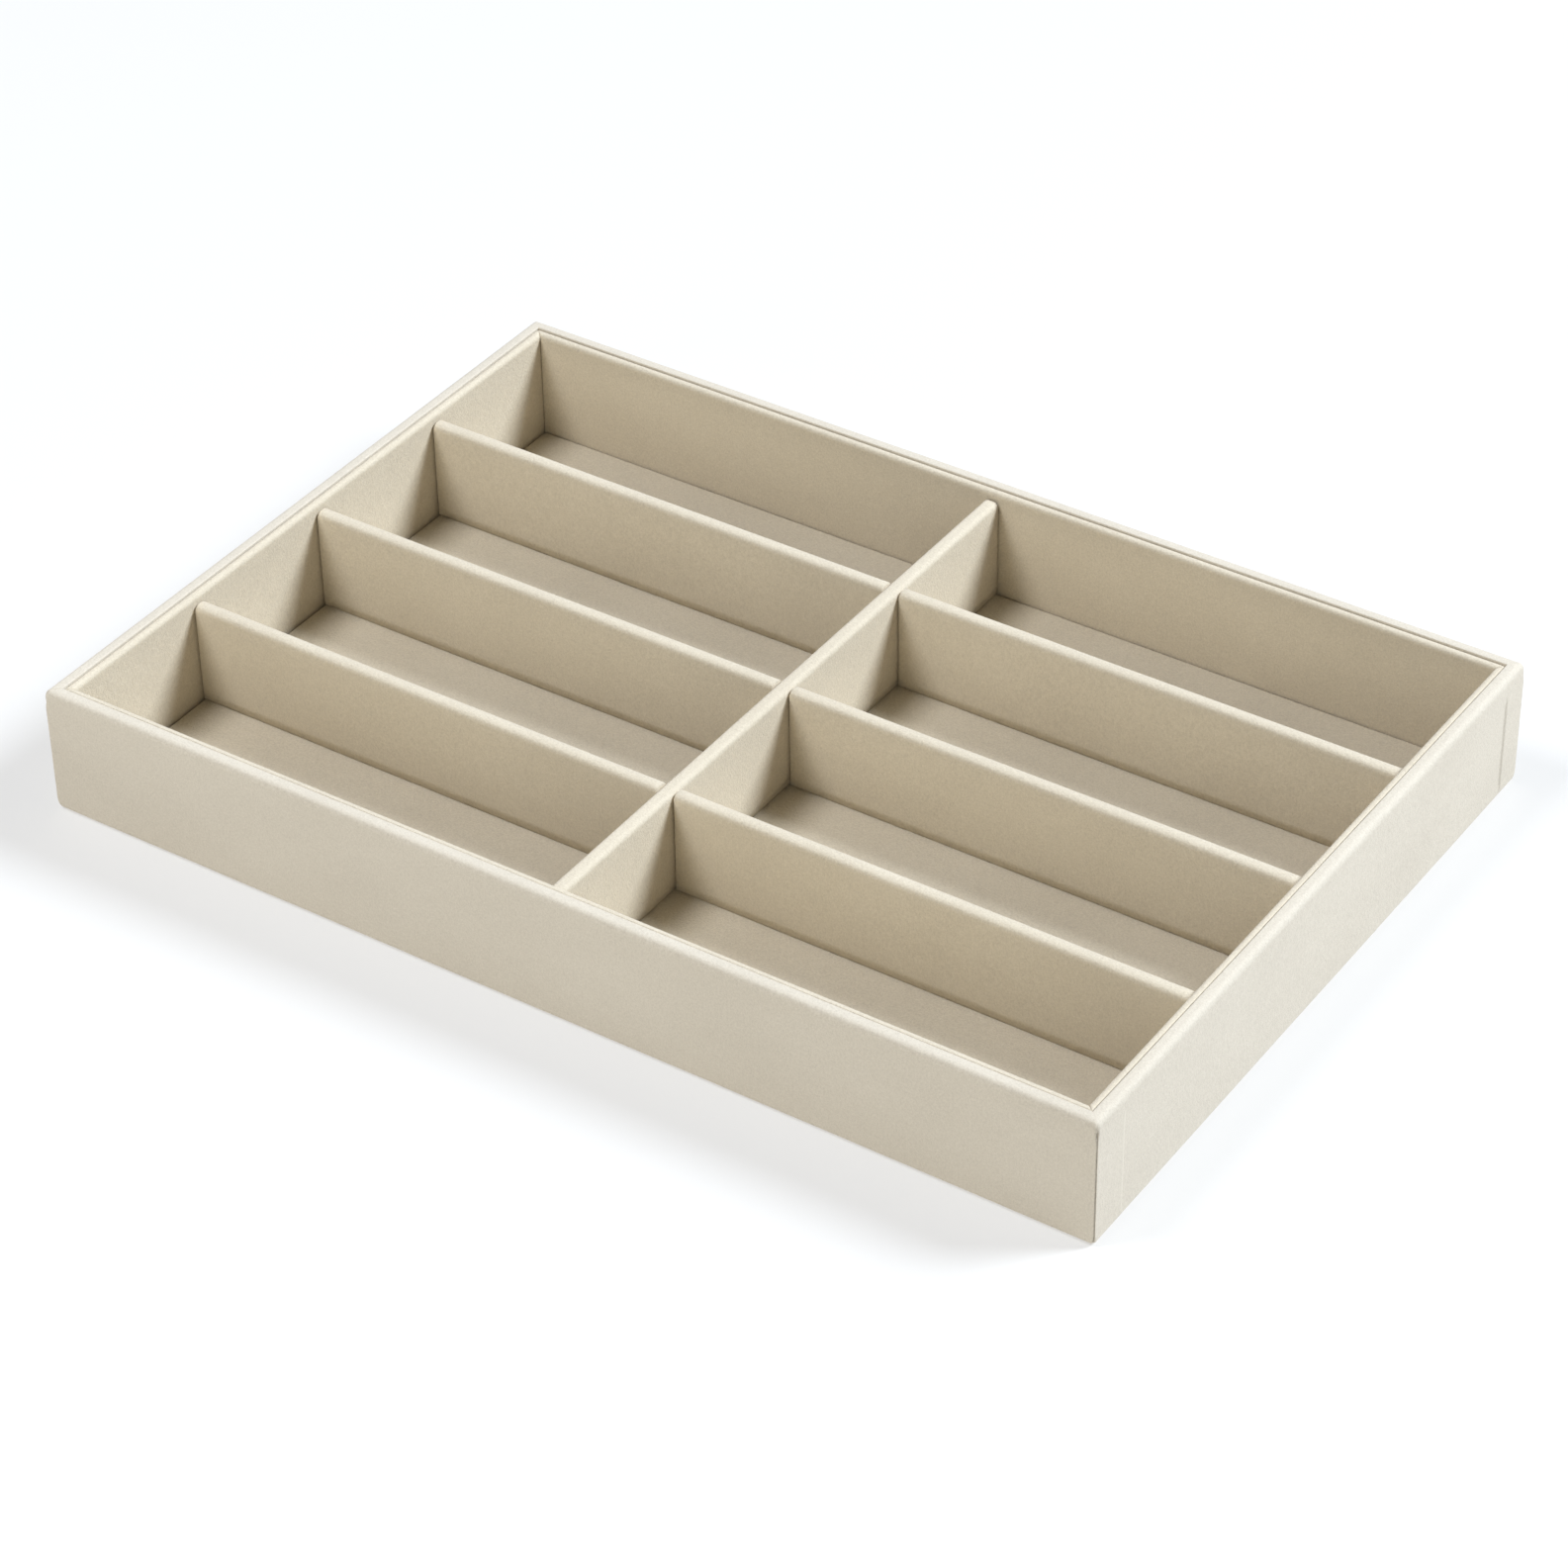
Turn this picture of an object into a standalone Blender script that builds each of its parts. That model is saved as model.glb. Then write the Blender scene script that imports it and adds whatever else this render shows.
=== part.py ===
"""A lidless display tray for eight pairs of glasses.

A greyboard box wrapped in micro-suede holds a thin covered lining frame, a covered floor and a
drop-in grid of covered dividers: one spine and six short cross dividers. Metres, +Z up. The
origin is the centre of the underside, +X runs along the length and +Y to the back.
"""

import math

import bmesh
import bpy
from mathutils import Matrix

OBJECT_NAME = "glasses_organizer"

# Overall size
LENGTH = 0.350
DEPTH = 0.240
HEIGHT = 0.042

# Gap kept between pieces that touch
GAP = 0.0003

# Outer wall: a board between two skins of one wrapped cover
WALL_SKIN = 0.0006
WALL_BOARD = 0.0023
WALL_EDGE_RADIUS = 0.0014
WALL_TURN_DOWN = 0.020
WALL_THICKNESS = 2 * WALL_SKIN + 2 * GAP + WALL_BOARD

# Groove between the outer wall and the lining frame
GROOVE = 0.00035

# Lining frame: a thin card between two skins of one wrapped cover
LINER_SKIN = 0.0004
LINER_BOARD = 0.00085
LINER_TOP_RADIUS = 0.0010
LINER_TURN_DOWN = 0.015
LINER_DROP = 0.0008
LINER_THICKNESS = 2 * LINER_SKIN + 2 * GAP + LINER_BOARD
LINER_OUTER = WALL_THICKNESS + GROOVE
LINER_INNER = LINER_OUTER + LINER_THICKNESS

# Bottom stack
LINING_THICKNESS = 0.0006
BASE_BOARD = 0.0023
FLOOR_BOARD = 0.0012
FLOOR_SKIN = 0.0006
FLOOR_EDGE_RADIUS = 0.0005
BASE_BOTTOM = LINING_THICKNESS + GAP
BASE_TOP = BASE_BOTTOM + BASE_BOARD
FLOOR_BOTTOM = BASE_TOP + GAP
FLOOR_TOP = FLOOR_BOTTOM + FLOOR_BOARD + GAP + FLOOR_SKIN

# Dividers
DIVIDER_THICKNESS = 0.0050
DIVIDER_SKIN = 0.0006
DIVIDER_TOP = HEIGHT - 0.0030
DIVIDER_TOP_RADIUS = 0.0022
DIVIDER_END_RADIUS = 0.0008
DIVIDER_PITCH = 0.05825
DIVIDER_END_GAP = 0.00035
DIVIDER_ROWS = (1, 0, -1)
DIVIDER_BOTTOM = FLOOR_TOP + GAP

# Small rounding on the board edges, and steps in each rounded corner
BOARD_EDGE_RADIUS = 0.0004
CORNER_STEPS = 4
SMALL_STEPS = 2
TOP_STEPS = 3

# Colours
SUEDE = (0.80, 0.74, 0.62, 1.0)
INNER_SUEDE = (0.78, 0.71, 0.58, 1.0)
GREYBOARD = (0.42, 0.39, 0.35, 1.0)
LINING = (0.70, 0.64, 0.53, 1.0)

# Each side of the tray: its turn about Z from the front, and whether it is a short end
SIDES = {"front": (0.0, False), "right": (90.0, True), "back": (180.0, False), "left": (270.0, True)}


def clear_scene():
    for item in list(bpy.data.objects):
        bpy.data.objects.remove(item, do_unlink=True)


def make_collection(name):
    collection = bpy.data.collections.new(name)
    bpy.context.scene.collection.children.link(collection)
    return collection


def make_material(name, colour, roughness):
    material = bpy.data.materials.new(name)
    material.use_nodes = True
    shader = material.node_tree.nodes["Principled BSDF"]
    shader.inputs["Base Color"].default_value = colour
    shader.inputs["Roughness"].default_value = roughness
    shader.inputs["Metallic"].default_value = 0.0
    return material


def add_object(name, mesh_data, collection, colour, roughness):
    """Turns the bmesh into an object with a material of its own."""
    mesh = bpy.data.meshes.new(name)
    mesh_data.to_mesh(mesh)
    mesh_data.free()
    item = bpy.data.objects.new(name, mesh)
    mesh.materials.append(make_material(name, colour, roughness))
    collection.objects.link(item)
    return item


def smooth(item):
    item.data.shade_smooth()
    item.data.set_sharp_from_angle(angle=math.radians(35.0))


def box_mesh(size, centre):
    mesh_data = bmesh.new()
    bmesh.ops.create_cube(mesh_data, size=1.0)
    bmesh.ops.scale(mesh_data, vec=size, verts=mesh_data.verts)
    bmesh.ops.translate(mesh_data, vec=centre, verts=mesh_data.verts)
    return mesh_data


def board(name, low, high, collection, edge_radius=BOARD_EDGE_RADIUS):
    """A flat board with slightly rounded edges, between two corners."""
    size = [top - bottom for bottom, top in zip(low, high)]
    centre = [(top + bottom) / 2 for bottom, top in zip(low, high)]
    item = add_object(name, box_mesh(size, centre), collection, GREYBOARD, 0.9)
    bevel = item.modifiers.new("edges", "BEVEL")
    bevel.width = edge_radius
    bevel.segments = 1
    return item


def rounded_path(corners, radius, steps):
    """The path through the corners, each inner one replaced by an arc of this radius."""
    path = [corners[0]]
    for before, corner, after in zip(corners, corners[1:], corners[2:]):
        to_before = unit(corner, before)
        to_after = unit(corner, after)
        centre = [corner[i] + radius * (to_before[i] + to_after[i]) for i in range(2)]
        for step in range(steps + 1):
            angle = math.pi / 2 * step / steps
            path.append(
                tuple(
                    centre[i] - radius * (to_after[i] * math.cos(angle) + to_before[i] * math.sin(angle))
                    for i in range(2)
                )
            )
    path.append(corners[-1])
    return path


def unit(start, end):
    length = math.dist(start, end)
    return [(end[i] - start[i]) / length for i in range(2)]


def band(outer_corners, inner_corners, radius, thickness, steps):
    """The closed outline of a sheet that follows square corners."""
    outer = rounded_path(outer_corners, radius, steps)
    inner = rounded_path(inner_corners, radius - thickness, steps)
    return outer + inner[::-1]


def mitred_bar(outline, side_length, side_depth):
    """One side of a frame, its ends cut at 45 degrees.

    Each outline point is (inward, height). The bar lies along X, with its outer face at -Y.
    """
    mesh_data = bmesh.new()
    verts = []
    for inward, height in outline:
        end = side_length / 2 - inward - GAP / 2
        verts.append(mesh_data.verts.new((-end, inward - side_depth / 2, height)))
    cap = mesh_data.faces.new(verts)
    extruded = bmesh.ops.extrude_face_region(mesh_data, geom=[cap], use_keep_orig=True)
    for vert in extruded["geom"]:
        if isinstance(vert, bmesh.types.BMVert):
            vert.co.x = -vert.co.x
    bmesh.ops.recalc_face_normals(mesh_data, faces=mesh_data.faces)
    return mesh_data


def frame_side(name, side, outline, collection, colour):
    turn, is_end = SIDES[side]
    side_length, side_depth = (DEPTH, LENGTH) if is_end else (LENGTH, DEPTH)
    mesh_data = mitred_bar(outline, side_length, side_depth)
    bmesh.ops.transform(mesh_data, matrix=Matrix.Rotation(math.radians(turn), 4, "Z"), verts=mesh_data.verts)
    item = add_object(name, mesh_data, collection, colour, 0.95)
    smooth(item)
    return item


def wall_outline():
    """The wall's cover: under the foot, up the outside, over the rim and down inside."""
    lip = HEIGHT - WALL_TURN_DOWN
    width = WALL_THICKNESS
    skin = WALL_SKIN
    outer = [(width, 0.0), (0.0, 0.0), (0.0, HEIGHT), (width, HEIGHT), (width, lip)]
    inner = [
        (width, skin),
        (skin, skin),
        (skin, HEIGHT - skin),
        (width - skin, HEIGHT - skin),
        (width - skin, lip),
    ]
    return band(outer, inner, WALL_EDGE_RADIUS, skin, CORNER_STEPS)


def liner_outline():
    """The lining frame's cover: up its back a little way, over the top and down the face."""
    top = HEIGHT - LINER_DROP
    skin = LINER_SKIN
    back, face = LINER_OUTER, LINER_INNER
    outer = [(back, top - LINER_TURN_DOWN), (back, top), (face, top), (face, FLOOR_BOTTOM)]
    inner = [
        (back + skin, top - LINER_TURN_DOWN),
        (back + skin, top - skin),
        (face - skin, top - skin),
        (face - skin, FLOOR_BOTTOM),
    ]
    return band(outer, inner, LINER_TOP_RADIUS, skin, CORNER_STEPS)


def frame_boards(kind, inward, thickness, bottom, top, collection):
    """Four boards on edge: the front and back ones run full length, the others fit between."""
    half_x = LENGTH / 2 - inward
    half_y = DEPTH / 2 - inward
    between = half_y - thickness - GAP
    spans = {
        "front": ((-half_x, -half_y), (half_x, -half_y + thickness)),
        "back": ((-half_x, half_y - thickness), (half_x, half_y)),
        "left": ((-half_x, -between), (-half_x + thickness, between)),
        "right": ((half_x - thickness, -between), (half_x, between)),
    }
    for side, (low, high) in spans.items():
        board(f"{side}_{kind}_board", (*low, bottom), (*high, top), collection, thickness / 4)


def bevel_edges(mesh_data, edges, radius, steps):
    bmesh.ops.bevel(
        mesh_data, geom=edges, offset=radius, segments=steps, profile=0.5, affect="EDGES"
    )


def long_top_edges(mesh_data, axis, middle):
    """The two top edges that run along this axis."""
    found = []
    for edge in mesh_data.edges:
        start, end = (vert.co for vert in edge.verts)
        if min(start.z, end.z) > middle and abs(end[axis] - start[axis]) > GAP:
            found.append(edge)
    return found


def end_outlines(mesh_data, axis):
    """The edges round the two end faces, apart from an open bottom edge."""
    ends = [face for face in mesh_data.faces if abs(face.normal[axis]) > 0.99]
    return list({edge for face in ends for edge in face.edges if not edge.is_boundary})


def sleeve(name, low, high, skin, top_radius, end_radius, collection, colour):
    """A cover that is open below: a rounded box with no bottom face, thickened inwards."""
    size = [top - bottom for bottom, top in zip(low, high)]
    centre = [(top + bottom) / 2 for bottom, top in zip(low, high)]
    axis = 0 if size[0] > size[1] else 1
    mesh_data = box_mesh(size, centre)
    bottom_faces = [face for face in mesh_data.faces if face.normal.z < -0.5]
    bmesh.ops.delete(mesh_data, geom=bottom_faces, context="FACES_ONLY")
    bevel_edges(mesh_data, long_top_edges(mesh_data, axis, centre[2]), top_radius, TOP_STEPS)
    mesh_data.normal_update()
    bevel_edges(mesh_data, end_outlines(mesh_data, axis), end_radius, SMALL_STEPS)
    item = add_object(name, mesh_data, collection, colour, 0.95)
    smooth(item)
    shell = item.modifiers.new("skin", "SOLIDIFY")
    shell.thickness = skin
    shell.offset = -1.0
    shell.use_even_offset = True
    return item


def base(collection):
    inward = WALL_SKIN + GAP
    half_x = LENGTH / 2 - inward
    half_y = DEPTH / 2 - inward
    board("base_board", (-half_x, -half_y, BASE_BOTTOM), (half_x, half_y, BASE_TOP), collection)


def underside_lining(collection):
    inward = WALL_THICKNESS + GAP
    half_x = LENGTH / 2 - inward
    half_y = DEPTH / 2 - inward
    size = (2 * half_x, 2 * half_y, LINING_THICKNESS)
    mesh_data = box_mesh(size, (0.0, 0.0, LINING_THICKNESS / 2))
    add_object("underside_lining", mesh_data, collection, LINING, 0.95)


def walls(collection):
    frame_boards("wall", WALL_SKIN + GAP, WALL_BOARD, FLOOR_BOTTOM, HEIGHT - WALL_SKIN - GAP, collection)
    outline = wall_outline()
    for side in SIDES:
        frame_side(f"{side}_cover", side, outline, collection, SUEDE)


def liners(collection):
    inward = LINER_OUTER + LINER_SKIN + GAP
    top = HEIGHT - LINER_DROP - LINER_SKIN - GAP
    frame_boards("liner", inward, LINER_BOARD, FLOOR_BOTTOM, top, collection)
    outline = liner_outline()
    for side in SIDES:
        frame_side(f"{side}_liner_cover", side, outline, collection, INNER_SUEDE)


def floor(collection):
    half_x = LENGTH / 2 - LINER_INNER - GAP
    half_y = DEPTH / 2 - LINER_INNER - GAP
    sleeve(
        "floor_cover", (-half_x, -half_y, FLOOR_BOTTOM), (half_x, half_y, FLOOR_TOP), FLOOR_SKIN,
        FLOOR_EDGE_RADIUS, FLOOR_EDGE_RADIUS, collection, INNER_SUEDE,
    )
    inset = FLOOR_SKIN + GAP
    low = (-half_x + inset, -half_y + inset, FLOOR_BOTTOM)
    high = (half_x - inset, half_y - inset, FLOOR_BOTTOM + FLOOR_BOARD)
    board("floor_board", low, high, collection)


def covered_divider(name, number, low_corner, high_corner, collection):
    """A divider between two plan corners: its cover and the board inside it."""
    sleeve(
        f"{name}_cover{number}", (*low_corner, DIVIDER_BOTTOM), (*high_corner, DIVIDER_TOP), DIVIDER_SKIN,
        DIVIDER_TOP_RADIUS, DIVIDER_END_RADIUS, collection, INNER_SUEDE,
    )
    inset = DIVIDER_SKIN + GAP
    size = [high_corner[i] - low_corner[i] - 2 * inset for i in range(2)]
    size.append(DIVIDER_TOP - inset - DIVIDER_BOTTOM)
    centre = [(high_corner[i] + low_corner[i]) / 2 for i in range(2)]
    centre.append(DIVIDER_BOTTOM + size[2] / 2)
    mesh_data = box_mesh(size, centre)
    axis = 0 if size[0] > size[1] else 1
    bevel_edges(mesh_data, long_top_edges(mesh_data, axis, centre[2]), DIVIDER_TOP_RADIUS - inset, TOP_STEPS)
    item = add_object(f"{name}_board{number}", mesh_data, collection, GREYBOARD, 0.9)
    smooth(item)


def divider_grid(collection):
    """The spine runs front to back, with a row of short dividers on each side of it."""
    half_thickness = DIVIDER_THICKNESS / 2
    spine_end = DEPTH / 2 - LINER_INNER - DIVIDER_END_GAP
    covered_divider("spine", "", (-half_thickness, -spine_end), (half_thickness, spine_end), collection)
    inner_end = half_thickness + GAP
    outer_end = LENGTH / 2 - LINER_INNER - DIVIDER_END_GAP
    for number, row in enumerate(DIVIDER_ROWS, start=1):
        front = row * DIVIDER_PITCH - half_thickness
        back = row * DIVIDER_PITCH + half_thickness
        covered_divider("left_divider", f"_{number}", (-outer_end, front), (-inner_end, back), collection)
        covered_divider("right_divider", f"_{number}", (inner_end, front), (outer_end, back), collection)


def main():
    clear_scene()
    collection = make_collection(OBJECT_NAME)
    base(collection)
    underside_lining(collection)
    walls(collection)
    liners(collection)
    floor(collection)
    divider_grid(collection)


main()
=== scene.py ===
"""The looks of the glasses organizer.

Every cover of the CAD model is replaced by a finer sheet of micro-suede with soft rounded edges,
seams at the corners and a slightly uneven surface. The lining under the base becomes a thin sheet
too, and the boards inside stay as CAD pieces. Metres, +Z up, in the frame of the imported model.
"""

import math

import bmesh
import bpy
import numpy as np
from mathutils import Matrix, Vector, noise


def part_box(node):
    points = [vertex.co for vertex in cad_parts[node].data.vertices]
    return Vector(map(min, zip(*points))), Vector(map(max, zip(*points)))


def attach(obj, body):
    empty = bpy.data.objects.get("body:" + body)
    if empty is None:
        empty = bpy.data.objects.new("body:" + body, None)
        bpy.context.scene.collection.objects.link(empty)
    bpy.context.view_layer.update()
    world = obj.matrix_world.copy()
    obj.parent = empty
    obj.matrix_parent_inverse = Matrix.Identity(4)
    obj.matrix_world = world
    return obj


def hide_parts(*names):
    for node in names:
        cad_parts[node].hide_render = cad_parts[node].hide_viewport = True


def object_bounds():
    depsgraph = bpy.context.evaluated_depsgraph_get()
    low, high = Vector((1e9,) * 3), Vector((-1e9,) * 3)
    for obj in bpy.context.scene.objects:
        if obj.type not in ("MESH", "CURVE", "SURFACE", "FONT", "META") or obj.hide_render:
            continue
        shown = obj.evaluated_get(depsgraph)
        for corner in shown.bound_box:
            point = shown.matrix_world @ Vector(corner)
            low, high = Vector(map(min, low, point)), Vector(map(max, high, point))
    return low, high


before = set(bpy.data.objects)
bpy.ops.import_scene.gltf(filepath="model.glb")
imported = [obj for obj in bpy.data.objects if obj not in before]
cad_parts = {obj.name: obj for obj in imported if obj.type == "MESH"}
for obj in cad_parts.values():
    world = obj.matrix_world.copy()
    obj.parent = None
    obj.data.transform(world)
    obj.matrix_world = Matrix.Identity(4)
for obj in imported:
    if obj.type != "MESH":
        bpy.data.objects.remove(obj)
cad_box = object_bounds()

MM = 0.001
SIDES = ("front", "right", "back", "left")
TURNS = {"front": 0, "right": 90, "back": 180, "left": 270}

# Overall size and the inner lines of the frame sides, from the CAD model
LENGTH, DEPTH, HEIGHT = (float(cad_box[1][i] - cad_box[0][i]) for i in range(3))
WALL_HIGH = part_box("front_cover")[1]
LINER_LOW, LINER_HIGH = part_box("front_liner_cover")
FRONT_FACE = -DEPTH / 2
WALL_INNER = WALL_HIGH.y - FRONT_FACE
LINER_OUTER = LINER_LOW.y - FRONT_FACE
LINER_INNER = LINER_HIGH.y - FRONT_FACE

# Outer covers. At its mouth, the upper end, a seam gains SEAM_MOUTH times its width and depth
WALL_SKIN = 0.55 * MM
WALL_TOP_RADIUS = 2.1 * MM
WALL_GROOVE_RADIUS = 0.4 * MM
WALL_FOOT_RADIUS = 2.0 * MM
WALL_TURN_DOWN = 18 * MM
CORNER_RADIUS = 0.45 * MM
CORNER_RADIUS_AT_RIM = 1.6 * MM
RIM_CORNER_BELOW_RIM = (6 * MM, 1 * MM)
FOOT_CORNER_HEIGHTS = (0.5 * MM, 4 * MM)
SEAM_DEPTH = 0.40 * MM
SEAM_WIDTH = 0.42 * MM
SEAM_MOUTH = 1.6
SEAM_MOUTH_LENGTH = 1.1 * MM
SEAM_STARTS_BELOW_RIM = 3.2 * MM
SEAM_FADE = 0.7 * MM
SEAM_LEAST_SHARE = 0.08

# The flaps of the front and back covers lie under the side covers, and their edge shows through as
# a ridge. It fades in below the rim, out at the foot, and along the wall over FLAP_RECOVERY
# Along the ridge the cloth is painted lighter: partly scuffed nap, partly a painted highlight
FLAP_WIDTH_FRONT = 14 * MM
FLAP_WIDTH_BACK = 10.3 * MM
FLAP_STEP = 0.40 * MM
FLAP_SOFTNESS = 0.5 * MM
FLAP_WEAR_AND_HIGHLIGHT = 0.8
FLAP_STARTS_BELOW_RIM = 4 * MM
FLAP_FADE = 6 * MM
FLAP_RECOVERY = 34 * MM

# Lining frame covers
LINER_SKIN = 0.38 * MM
LINER_TURN_DOWN = 14 * MM
LINER_RISE = 0.3 * MM
LINER_GROOVE_RADIUS = 0.4 * MM
LINER_TOP_RADIUS = 1.5 * MM
# The liner's corner seams are painted darker too: a painted shadow in the inner corners, with a
# glue line
LINER_SEAM_SHARE = 0.6

# Dividers and floor
DIVIDER_RADIUS = 2.2 * MM
DIVIDER_TOP_RADIUS = 1.9 * MM
DIVIDER_END_RADIUS = 0.5 * MM
SPINE_RADIUS = 1.7 * MM
DIVIDER_REACH = 0.15 * MM
DIVIDER_CROWN = 0.12 * MM
BLOCK_SKIN = 0.5 * MM
FLOOR_EDGE_RADIUS = 1.1 * MM

# Lining under the base
LINING_EDGE = 0.6 * MM
LINING_EDGE_RISE = 0.14 * MM
LINING_SKIN = 0.42 * MM
LINING_LIFT = 0.08 * MM

# Mesh of the sides: spacing along the profile, in its round corners and along the middle, and
# the length of each end, where the columns follow the seam and the flap
ROW_STEP = 0.8 * MM
ARC_STEP = 0.2 * MM
COLUMN_STEP = 3.2 * MM
END_ZONE = 50 * MM
END_STEPS = 12
SEAM_STEPS = 6
FLAP_STEPS = 10
FLAP_EDGE_STEP = 0.3 * MM
FLAP_EDGE_STEPS = 4
LEAST_ARC_STEPS = 4
LEAST_STEPS = 2
LEAST_RADIUS = 0.001 * MM
TINY = 1e-9

# Mesh of the blocks and of the lining
ROUND_STEPS = 7
DIVIDER_MESH_STEP = 3 * MM
FLOOR_MESH_STEP = 4 * MM
LINING_MESH_STEP = 5 * MM
WELD_DISTANCE = 0.004 * MM

# Faces that meet at more than this angle keep a sharp edge
SHARP_DEGREES = 50

# The least sideways tilt of the part of a profile that counts as the outside of the tray
OUTSIDE_TILT = 0.2

# How far a block's normal turns before its edge is fully lightened: scuffed nap, painted highlight
FULL_EDGE_LIGHTENING_TURN = 0.3

# Unevenness of glued fabric: (height, size of the waves)
WAVES = ((0.055 * MM, 34 * MM), (0.022 * MM, 9 * MM), (0.010 * MM, 3.2 * MM))
WAVE_SHIFT = (1.0, 0.7, 0.3)

# Each cover has its own place in the noise. Walls and liners count up in the order of SIDES
FIRST_WALL_SEED = 1
LINER_SEED = 10.0
FLOOR_SEED = 21.0
SPINE_SEED = 22.0
DIVIDER_SEED = 30.0
RIGHT_DIVIDER_SEED = 5.0
LINING_SEED = 50.0

# Micro-suede: the scale of each noise in 1/m, and its weight in the shade and in the height
SUEDE_SCALE = {"fibres": 2600.0, "nap": 1500.0, "mottle": 360.0, "brushed": 24.0}
SUEDE_SHADE = {"fibres": 0.60, "nap": 0.75, "mottle": 0.14, "brushed": 0.24}
SUEDE_HEIGHT = {"fibres": 0.6, "nap": 1.0, "mottle": 0.25}
NAP_STRETCH = (1.0, 1.0, 0.75)
BRUSHED_STRETCH = (1.0, 1.0, 1.6)
# Rounded edges are painted lighter: partly scuffed nap, partly a painted highlight
EDGE_WEAR_AND_HIGHLIGHT_SHADE = 0.05
# Seams are painted darker: a painted shadow in the seam, with a darker glue line
SEAM_SHADOW_AND_GLUE_SHADE = 0.75
SEAM_SHADOW_AND_GLUE_TONE = 0.72
SUEDE_STOPS = (0.0, 0.14, 0.5, 0.9)
SUEDE_ROUGHNESS = 0.92
SUEDE_ROUGHNESS_SPREAD = 0.12
SUEDE_BUMP = 0.7
SUEDE_SPECULAR = 0.18
SUEDE_SHEEN = 0.22
SUEDE_SHEEN_ROUGHNESS = 0.45
SUEDE_SHEEN_TINT = (1.0, 0.96, 0.90, 1.0)

# Dark, middle and light tones, and the depth of the nap in metres
OUTER_SUEDE = ((0.53, 0.47, 0.38), (0.645, 0.581, 0.474), (0.76, 0.697, 0.583), 0.00017)
# The inside's tones are warmer than the outside's: painted warm shade of the tray's inside
INNER_SUEDE_WITH_PAINTED_SHADE = ((0.52, 0.452, 0.345), (0.65, 0.573, 0.442), (0.78, 0.704, 0.558), 0.00026)

# Greyboard and lining: noise scales in 1/m and their weight in the shade, tones, and the depth of
# the relief in metres
BOARD_SCALE = {"fleck": 1500.0, "cloud": 60.0}
BOARD_SHADE = {"fleck": 0.8, "cloud": 0.6}
BOARD_TONES = ((0.1, (0.20, 0.18, 0.155)), (0.5, (0.36, 0.33, 0.29)), (0.9, (0.52, 0.49, 0.44)))
BOARD_ROUGHNESS = 0.85
BOARD_ROUGHNESS_SPREAD = 0.15
BOARD_BUMP = 0.3
BOARD_RELIEF = 0.0001
BOARD_SPECULAR = 0.2
LINING_SCALE = {"fibre": 700.0, "cloud": 35.0}
LINING_SHADE = {"fibre": 0.7, "cloud": 0.5}
LINING_FIBRE_STRETCH = (1.0, 2.2, 1.0)
LINING_TONES = ((0.1, (0.50, 0.45, 0.36)), (0.5, (0.60, 0.54, 0.44)), (0.9, (0.68, 0.62, 0.52)))
LINING_ROUGHNESS = 0.88
LINING_ROUGHNESS_SPREAD = 0.1
LINING_BUMP = 0.5
LINING_RELIEF = 0.00015
LINING_SHEEN = 0.1

# Studio floor, a little below the tray's foot so that the waves of the lining don't touch it
STAGE_HALF = 6.0
STAGE_DROP = 0.0002
STAGE_TONE_SCALE = 0.8
STAGE_TONES = ((0.0, (0.36, 0.355, 0.34)), (1.0, (0.39, 0.385, 0.37)))
STAGE_ROUGHNESS = 0.9
STAGE_SPECULAR = 0.1

# Lights, in metres and watts. towards points from the tray to the light
KEY = {
    "towards": (0.60, 0.50, 0.73),
    "distance": 4.0,
    "size": 1.5,
    "power": 233.0,
    "colour": (0.82, 0.895, 1.0),
}
OVERHEAD = {
    "towards": (-0.32, -0.35, 0.88),
    "distance": 2.5,
    "size": 0.9,
    "power": 37.5,
    "colour": (0.90, 0.93, 1.0),
}
FILL = {
    "towards": (-0.06, -0.93, 0.30),
    "distance": 1.3,
    "size": 0.6,
    "power": 3.6,
    "colour": (1.0, 0.97, 0.86),
}
SKY_STRENGTH = 0.05
# The studio floor glows a little, so that shadows on it stay pale
FLOOR_GLOW = 0.50

# Camera, in metres and degrees, aimed at the centre of the underside
CAMERA_AZIMUTH = 34.12
CAMERA_ELEVATION = 36.96
CAMERA_ROLL = -0.92
CAMERA_DISTANCE = 1.4208
CAMERA_SLIDE = (-0.0008, 0.0027)
CAMERA_LENS_MM = 112.0
SENSOR_MM = 36.0
CAMERA_CLIP_START = 0.05


# --- Mesh helpers ---------------------------------------------------------------------------


def smooth_step(low, high, value):
    """0 below low, 1 above high, and a smooth rise between them."""
    t = np.clip((value - low) / (high - low), 0.0, 1.0)
    return t * t * (3.0 - 2.0 * t)


def wave_height(point, seed):
    """The height of the fabric's unevenness at a point."""
    shift = Vector([share * seed for share in WAVE_SHIFT])
    height = 0.0
    for amplitude, size in WAVES:
        height += amplitude * noise.noise(Vector(point) / size + shift)
    return height


def waves(points, seed):
    """wave_height for a whole grid of points."""
    flat = points.reshape(-1, 3)
    return np.array([wave_height(point, seed) for point in flat]).reshape(points.shape[:-1])


def link(name, mesh):
    item = bpy.data.objects.new(name, mesh)
    bpy.context.scene.collection.objects.link(item)
    return item


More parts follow.
